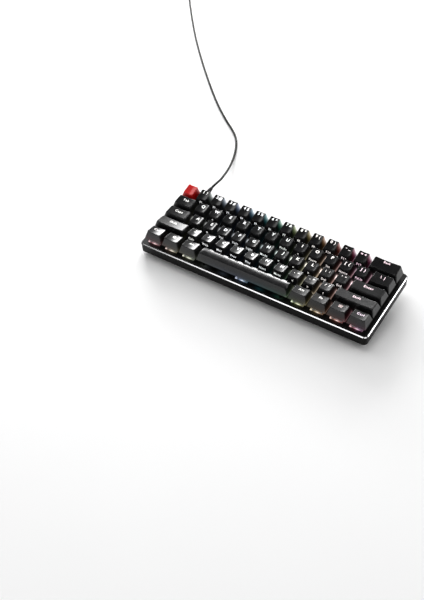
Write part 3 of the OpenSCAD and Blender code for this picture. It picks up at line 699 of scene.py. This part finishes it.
# Heights of the parts under a cap, in mm over the plate
POST_LOW, SOCKET_TOP = 6.9, 10.3
STEM_LOW, STEM_ROOF, STEM_TOP = 0.8, 5.0, 6.8
CROSS_TOP = 10.2


def add_post(build, x, y, roof_z):
    """The hollow post under a cap, with its cross-shaped socket."""
    hole = cross(2.03, 0.7)
    tube = circle_like(hole, 2.75)
    build.loft([level(hole, SOCKET_TOP), level(hole, POST_LOW + 0.15), level(hole * 1.08, POST_LOW),
                level(tube * 0.94, POST_LOW), level(tube, POST_LOW + 0.2), level(tube, roof_z)],
               (x, y, 0))


def add_cross(build, at):
    """The cross on a stem, which the cap's post grips."""
    arms = cross(1.98, 0.64)
    build.loft([level(arms, STEM_TOP - 0.1), level(arms, CROSS_TOP - 0.25),
                level(arms * 0.9, CROSS_TOP)], at)


def add_stem(build, x, y):
    """A switch's slider: hollow body for the spring, two guide wings, pole and cross."""
    def body(sx, sy):
        return rounded_ring(-sx, sx, -sy, sy, 0.5, 4, 4, 4)
    outer = body(3.4, 2.7)
    room = circle_like(outer, 2.3)
    at = (x, y, 0)
    build.loft([level(room * 0.1, STEM_ROOF), level(room, STEM_ROOF), level(room, STEM_LOW),
                level(body(3.25, 2.55), STEM_LOW), level(outer, STEM_LOW + 0.2),
                level(outer, STEM_TOP - 0.25), level(body(3.15, 2.45), STEM_TOP),
                level(body(0.5, 0.5), STEM_TOP)], at)
    for side in (-1, 1):
        wing = sorted((side * 3.3, side * 4.6))
        build.block(wing, (-2.5, 2.5), (STEM_LOW, STEM_ROOF + 0.1), 0.15, at)
    pole = circle(1.2)
    build.loft([level(circle(0.9), -3.0), level(pole, -2.6), level(pole, STEM_ROOF + 0.1)], at)
    add_cross(build, at)


def add_stabiliser_stem(build, x, y):
    """A stabiliser's slider: two cheeks, a slot between them for the wire, and a cross."""
    at = (x, y, 0)
    for side in (-1, 1):
        build.block(sorted((side * 1.1, side * 2.2)), (-2.3, 2.3), (-3.2, STEM_TOP), 0.12, at)
    build.block((-1.15, 1.15), (-2.25, 2.25), (0.85, STEM_TOP - 0.05), 0.1, at)
    build.block((-1.15, 1.15), (-2.25, 2.25), (-3.15, -2.55), 0.1, at)
    build.block((-1.15, 1.15), (1.95, 2.25), (-2.6, 0.9), 0.05, at)
    add_cross(build, at)


# ------------------------------ legends
texts = {}
LEGEND_T = 0.07  # half the thickness of a legend
LEGEND_SLOT = 1  # its material slot on a cap
STRIP = 0.8  # width of the strips that follow a dish
CAPITAL = 0.7  # height of a capital letter, in font sizes
TINT_FROM = 95  # right of this x the legends take more of the glow's colour


def text_solid(body, height, bold):
    """Lettering as a thin solid about its own middle, cut into strips."""
    key = (body, height, bold)
    if key in texts:
        return texts[key]
    curve = bpy.data.curves.new("text", "FONT")
    curve.body = body
    curve.size = height / CAPITAL
    curve.extrude = LEGEND_T
    curve.offset = bold
    curve.resolution_u = 3
    curve.space_character = 1.15 if len(body) > 2 else 1.0
    curve.align_x = "CENTER"
    obj = bpy.data.objects.new("text", curve)
    bpy.context.scene.collection.objects.link(obj)
    mesh = bpy.data.meshes.new_from_object(obj.evaluated_get(bpy.context.evaluated_depsgraph_get()))
    bpy.data.objects.remove(obj)
    bpy.data.curves.remove(curve)
    bm = bmesh.new()
    bm.from_mesh(mesh)
    bpy.data.meshes.remove(mesh)
    bmesh.ops.remove_doubles(bm, verts=bm.verts, dist=0.001)
    xs = [v.co.x for v in bm.verts]
    for x in np.arange(min(xs) + STRIP, max(xs), STRIP):
        geom = bm.verts[:] + bm.edges[:] + bm.faces[:]
        bmesh.ops.bisect_plane(bm, geom=geom, plane_co=(float(x), 0, 0), plane_no=(1, 0, 0),
                               dist=0.0005)
    bm.verts.index_update()
    verts = np.array([v.co[:] for v in bm.verts])
    faces = [[v.index for v in f.verts] for f in bm.faces]
    bm.free()
    verts[:, 0] -= (verts[:, 0].min() + verts[:, 0].max()) / 2
    verts[:, 1] -= height / 2
    texts[key] = (verts, faces)
    return texts[key]


def ring_glyph():
    """A plain ring with a dot."""
    b = Build()
    for inner, outer in ((1.35, 2.0), (0.0, 0.6)):
        o, i = circle(outer, 28), circle(max(inner, 0.02), 28)
        b.loft([level(i, -LEGEND_T), level(o, -LEGEND_T), level(o, LEGEND_T), level(i, LEGEND_T)],
               loop=True)
    return np.concatenate(b.verts), b.faces


def menu_glyph():
    """A list: three bars in a frame."""
    b = Build()
    z = (-LEGEND_T, LEGEND_T)
    for y in (-0.95, 0.0, 0.95):
        b.block((-1.15, 1.15), (y - 0.2, y + 0.2), z, bevel=0.03)
    for side in (-1, 1):
        b.block(sorted((side * 1.65, side * 2.0)), (-1.9, 1.9), z, bevel=0.03)
        b.block((-1.7, 1.7), sorted((side * 1.6, side * 1.9)), z, bevel=0.03)
    return np.concatenate(b.verts), b.faces


def add_legends(build, cap, cx, cy):
    """A cap's legends: pale lettering with painted glow as emission for the lamps' light shining
    through, tinted by the glow's colour, most at the right end of the board.
    """
    r, i = cap.r, cap.i
    own = 0.45 if cx > TINT_FROM else 0.12
    # the legends' painted glow: mostly white, with some of the glow's colour
    light = (1 - own) + own * glow_at(cx, cy)
    y_mid = (cap.y0 + cap.y1) / 2

    def lay_top(verts, faces, x, y, strength):
        v = verts.copy()
        v[:, 0] += x
        v[:, 1] += y
        v[:, 2] += cap.top(v[:, 0], v[:, 1]) + SKIRT_Z
        build.add(v + (cx, cy, 0), faces, LEGEND_SLOT, light * strength)

    label = TOPS[r][i]
    y_legend = y_mid + (3.6 if r == 4 else 2.4)
    if label == "<ring>":
        lay_top(*ring_glyph(), 0, y_mid + 1.6, 0.8)
    elif label == "<menu>":
        lay_top(*menu_glyph(), 0, y_mid + 1.6, 0.8)
    elif " " in label:
        first, second = label.split(" ")
        for glyph, x in ((first, -2.1), (second, 2.3)):
            lay_top(*text_solid(glyph, 3.5, 0.09), x, y_legend, 1.0)
    elif len(label) == 1:
        lay_top(*text_solid(label, 4.0, 0.11), 0.4, y_legend, 1.0)
    elif label:
        y_word = y_mid + (4.0 if r == 4 else 1.9)
        lay_top(*text_solid(label, 2.6 if r == 4 else 3.2, 0.05), 0.0, y_word, 0.95)
    small = FRONTS[r][i]
    if small:
        v, faces = text_solid(small, 2.6, 0.06)
        slope = math.atan2(FRONT_IN, cap.hf)
        share = 0.52
        y0, z0 = -CAP_D / 2 + FRONT_IN * share, SKIRT_Z + cap.hf * share
        out = np.stack([v[:, 0],
                        y0 + v[:, 1] * math.sin(slope) - v[:, 2] * math.cos(slope),
                        z0 + v[:, 1] * math.cos(slope) + v[:, 2] * math.sin(slope)], -1)
        build.add(out + (cx, cy, 0), faces, LEGEND_SLOT, light * 0.75)


# ------------------------------ springs
SPRING_R, SPRING_WIRE = 1.8, 0.2  # radii of the coil and of its wire
SPRING_Z = (-3.8, 5.0)


def add_spring(build, x, y):
    """A helix with closed end turns."""
    z0, z1 = SPRING_Z[0] + SPRING_WIRE, SPRING_Z[1] - SPRING_WIRE
    turns, per_turn, sides = 10, 14, 6
    t = np.linspace(0, 1, turns * per_turn + 1)
    a = t * turns * 2 * math.pi
    rise = np.interp(t * turns, [0, 1, turns - 1, turns], [0, 0.05, 0.95, 1])
    line = np.stack([SPRING_R * np.cos(a), SPRING_R * np.sin(a), z0 + (z1 - z0) * rise], -1)
    up = np.array([0, 0, 1.0])
    rings = []
    for k, p in enumerate(line):
        out = np.array([math.cos(a[k]), math.sin(a[k]), 0])
        rings.append(np.array([p + SPRING_WIRE * (math.cos(s) * out - math.sin(s) * up)
                               for s in np.arange(sides) * 2 * math.pi / sides]))
    build.loft(rings, (x, y, 0))


for node, (r, first, last) in KEY_NODES.items():
    caps, stems, springs = Build(), Build(), Build()
    for i in range(first, last + 1):
        cx, cy = key_at(r, i)
        cap = Cap(r, i)
        rings = cap.rings()
        caps.loft(rings, (cx, cy, SKIRT_Z))
        # painted glow on the cap's walls, kept on the mesh as its emission colour
        caps.glow[-1] = cap.glow(np.concatenate(rings), cx, cy)
        posts = [0.0] if ROWS[r][i] < 2 else [-STAB_REACH[ROWS[r][i]], 0.0, STAB_REACH[ROWS[r][i]]]
        for px in posts:
            add_post(caps, cx + px, cy, SKIRT_Z + (cap.hf + cap.hb) / 2 - ROOF + 0.5)
            if px == 0:
                add_stem(stems, cx, cy)
            else:
                add_stabiliser_stem(stems, cx + px, cy)
        add_legends(caps, cap, cx, cy)
        add_spring(springs, cx, cy)
    finish = "keycap_red" if node == "key_escape" else "keycap_black"
    cap_obj = caps.object(node + "_caps", [finish, "legend"])
    stem_obj = stems.object(node + "_stems", ["stem"])
    spring_obj = springs.object(node + "_springs", ["spring_steel"], sharp=80)
    for obj, slot in ((cap_obj, finish), (stem_obj, "switch_nylon")):
        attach(obj, node)
        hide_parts(node)
    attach(spring_obj, "root")
    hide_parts("switch_springs")
    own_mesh(spring_obj)

# ------------------------------ cable: one line from the boot to the plug
SOCKET_X, BOOT_END_Y, SOCKET_Z = -128, 74.525, -8.3  # where it leaves the boot, on the deck
CABLE_D = 3.0
FLOOR = CABLE_D / 2  # height of the cable's middle where it lies on the floor
COIL_AT = (-458, 554)
# Each turn of the coil: its radius, and its layer from the floor
COIL_TURNS = [
    (20.1, 0), (17.05, 0), (14.0, 0), (14.0, 1), (17.05, 1), (20.1, 1),
    (20.1, 2), (17.05, 2), (14.0, 2), (14.0, 3), (17.05, 3), (20.0, 3),
]
COIL_Z, COIL_STEP = 2.3, 3.05  # height of the lowest layer, and from one layer to the next
COIL_FROM, TAIL_ANGLE = 216.87, 122.5  # where the cable joins and leaves the coil, in degrees
TAIL_HEADING = math.radians(TAIL_ANGLE - 90)
TAIL_LENGTH, TAIL_Z, PLUG_Z = 30, 11.4, 3.6


def world_mm(p):
    """A point in deck millimetres, in millimetres in the row frame."""
    return list(deck_point(p) / MM)


# The cable's way from the boot to the coil, as in the CAD model
ROUTE = [
    world_mm((SOCKET_X, BOOT_END_Y, SOCKET_Z)), world_mm((SOCKET_X, BOOT_END_Y + 5, SOCKET_Z)),
    [-128.6, 88.5, 22.4], [-130.6, 99.9, 19.4], [-134.3, 112.8, 15.6], [-138.4, 125.9, 11.8],
    [-143, 139.8, 8.2], [-148, 153.6, 5], [-153, 166.3, 2.9], [-157.8, 178, FLOOR + 0.3],
    [-163.7, 190.8, FLOOR], [-170.7, 203, FLOOR], [-179.2, 214.2, FLOOR], [-192.4, 226.5, FLOOR],
    [-214, 244, FLOOR], [-246, 273, FLOOR], [-285, 313, FLOOR], [-328, 360, FLOOR],
    [-372, 411, FLOOR], [-412, 461, FLOOR], [-447, 507, FLOOR], [-474, 542, FLOOR + 0.8],
]


def smooth_line(points, steps):
    """A Catmull-Rom line through the points."""
    p = [np.array(q, float) for q in points]
    out = []
    for k in range(len(p) - 1):
        a, b, c, d = p[max(k - 1, 0)], p[k], p[k + 1], p[min(k + 2, len(p) - 1)]
        for s in range(steps):
            t = s / steps
            out.append(0.5 * (2 * b + (c - a) * t + (2 * a - 5 * b + 4 * c - d) * t * t
                              + (3 * b - a - 3 * c + d) * t ** 3))
    return out + [p[-1]]


def coil_line():
    """Clockwise turns, stepping over to the next place at the end of each."""
    total = len(COIL_TURNS) - 1 + (COIL_FROM - TAIL_ANGLE) / 360
    step_from = 0.84  # the share of a turn at which it begins to step over
    per_turn = 40
    out = []
    for turn in np.arange(0, total, 1 / per_turn):
        k = int(turn)
        share = turn - k
        step = np.clip((share - step_from) / (1 - step_from), 0, 1)
        step = step * step * (3 - 2 * step)
        (r0, l0), (r1, l1) = COIL_TURNS[k], COIL_TURNS[min(k + 1, len(COIL_TURNS) - 1)]
        r, z = r0 + (r1 - r0) * step, COIL_Z + COIL_STEP * (l0 + (l1 - l0) * step)
        a = math.radians(COIL_FROM - 360 * turn)
        out.append(np.array([COIL_AT[0] + r * math.cos(a), COIL_AT[1] + r * math.sin(a), z]))
    return out


def tail_line():
    """From the top of the coil down to the plug, which lies on the floor."""
    a = math.radians(TAIL_ANGLE)
    start = np.array([COIL_AT[0] + 20 * math.cos(a), COIL_AT[1] + 20 * math.sin(a), TAIL_Z])
    way = np.array([math.cos(TAIL_HEADING), math.sin(TAIL_HEADING), 0])
    drop = np.array([0, 0, PLUG_Z - TAIL_Z])
    points = [start, start + 8 * way, start + 18 * way + drop * 0.6,
              start + (TAIL_LENGTH - 6) * way + drop, start + (TAIL_LENGTH + 1) * way + drop]
    return smooth_line(points, 4)


line = smooth_line(ROUTE, 8)[:-1] + coil_line() + tail_line()
cable_curve = bpy.data.curves.new("cable", "CURVE")
cable_curve.dimensions = "3D"
cable_curve.bevel_depth = CABLE_D / 2 * MM
cable_curve.bevel_resolution = 3
cable_curve.use_fill_caps = True
spline = cable_curve.splines.new("POLY")
spline.points.add(len(line) - 1)
for point, p in zip(spline.points, line):
    point.co = (*(p * MM), 1)
spline.use_smooth = True
cable_curve.materials.append(MATS["cable_sleeve"])
cable = bpy.data.objects.new("cable", cable_curve)
bpy.context.scene.collection.objects.link(cable)
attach(cable, "root")
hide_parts("usb_cable", "usb_cable_coil")


def add_tie():
    """A hook-and-loop strap round the coil, with its free end laid over."""
    build = Build()
    x0, x1, z0, z1 = 11.9, 22.2, 0.72, 13.6
    thick, half = 0.6, 4.4
    around = rounded_ring(x0, x1, z0, z1, 2.2, 3, 3, 6)
    inner = rounded_ring(x0 + thick, x1 - thick, z0 + thick, z1 - thick, 1.7, 3, 3, 6)
    rows = []
    for ring, y in ((inner, -half), (inner, half), (around, half), (around, 4.0), (around, -4.0),
                    (around, -half)):
        rows.append(np.stack([ring[:, 0], np.full(len(ring), y), ring[:, 1]], -1))
    build.loft(rows, loop=True)
    build.block((13.5, 21.5), (-4.2, 4.2), (13.5, 13.88), bevel=0.15)
    x, y, z = np.concatenate(build.verts).T
    a = math.radians(200)
    turned = np.stack([x * math.cos(a) - y * math.sin(a) + COIL_AT[0],
                       x * math.sin(a) + y * math.cos(a) + COIL_AT[1], z], -1)
    build.verts = [turned]
    return build.object("cable_tie_strap", ["tie_strap"], world=False)


tie = add_tie()
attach(tie, "root")
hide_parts("cable_tie")

# ------------------------------ CAD nodes that stay, with their materials
# Each one's material, and the width of its bevelled edges in mm
FINISH = {
    "top_plate": ("anodised_plate", 0), "bottom_case": ("case_plastic", 0.25),
    "circuit_board": ("circuit_laminate", 0), "controller_chip": ("chip_epoxy", 0.08),
    "switch_bottom_housings": ("switch_nylon", 0.12), "switch_top_housings": ("switch_clear", 0.3),
    "hot_swap_sockets": ("chip_epoxy", 0.1), "key_lights": ("light_lens", 0.15),
    "stabiliser_housings": ("case_plastic", 0.15), "plate_screws": ("screw_steel", 0.12),
    "rubber_feet": ("foot_rubber", 0.3), "left_flip_foot": ("case_plastic", 0.3),
    "right_flip_foot": ("case_plastic", 0.3), "cable_socket": ("plug_metal", 0.1),
    "cable_boot": ("cable_moulding", 0.35), "usb_plug_body": ("cable_moulding", 0.5),
    "usb_plug_shell": ("plug_metal", 0.1),
}
FINISH.update({n: ("wire_steel", 0) for n in NODES if n.startswith("wire_")})
for node, (finish, bevel) in FINISH.items():
    obj = NODES[node]
    obj.data.materials.clear()
    obj.data.materials.append(MATS[finish])
    if bevel:
        mod = obj.modifiers.new("edges", "BEVEL")
        mod.width = bevel * MM
        mod.segments = 2
        mod.limit_method = "ANGLE"
        mod.angle_limit = math.radians(40)
        mod.use_clamp_overlap = True
        mod.harden_normals = False

# ------------------------------ stage and light
def stage_floor():
    """A plain pale floor, just under the object."""
    n = Nodes("floor", (0.94, 0.94, 0.94), 0.9, Specular_IOR_Level=0.0)
    n.colour_by(n.noise(3, 2.0), (0.93, 0.93, 0.93), (0.95, 0.95, 0.95))
    mesh = bpy.data.meshes.new("floor")
    s, z = 12, -0.0004
    mesh.from_pydata([(-s, -s, z), (s, -s, z), (s, s, z), (-s, s, z)], [], [(0, 1, 2, 3)])
    mesh.materials.append(n.mat)
    obj = bpy.data.objects.new("floor", mesh)
    bpy.context.scene.collection.objects.link(obj)


def softbox(name, azimuth, elevation, width, height, radiance, distance=2.0, soft=False):
    """An area light facing the board, with its place and size given as angles in degrees.

    Azimuth is from +x towards +y. A soft one lights surfaces but isn't mirrored in them."""
    a, e = math.radians(azimuth), math.radians(elevation)
    way = Vector((math.cos(a) * math.cos(e), math.sin(a) * math.cos(e), math.sin(e)))
    data = bpy.data.lights.new(name, "AREA")
    data.shape = "RECTANGLE"
    data.size = 2 * distance * math.tan(math.radians(width / 2))
    data.size_y = 2 * distance * math.tan(math.radians(height / 2))
    data.energy = radiance * math.pi * data.size * data.size_y
    obj = bpy.data.objects.new(name, data)
    obj.location = way * distance
    obj.rotation_euler = way.to_track_quat("Z", "Y").to_euler()
    obj.visible_glossy = not soft
    bpy.context.scene.collection.objects.link(obj)


stage_floor()
world = bpy.data.worlds.new("world")
world.use_nodes = True
world.node_tree.nodes["Background"].inputs["Color"].default_value = (1, 1, 1, 1)
world.node_tree.nodes["Background"].inputs["Strength"].default_value = 0.10
bpy.context.scene.world = world
# The key lights stand behind the board's left end, where the tops of the caps mirror them to the camera
softbox("key_core", 134, 19, 15, 20, 16.0)
softbox("key_low", 133, 11, 18, 8, 12.0)
softbox("key_high", 144, 27, 10, 9, 8.0)
softbox("key_middle", 127, 22, 34, 22, 3.2)
softbox("key_back", 110, 18, 13, 9, 30.0)
softbox("fill_left", 172, 42, 34, 22, 2.0)
softbox("fill_back", 90, 44, 30, 18, 1.2)
# The edge lights are what the plate's chamfer mirrors
softbox("edge_right", 36, 27, 24, 24, 4.0)
softbox("edge_front", 258, 24, 34, 22, 1.6)
softbox("edge_corner", 324, 33, 44, 16, 1.3)
softbox("overhead", 140, 62, 50, 50, 2.1, soft=True)
bpy.context.scene.view_settings.view_transform = "Standard"
bpy.context.scene.view_settings.look = "None"
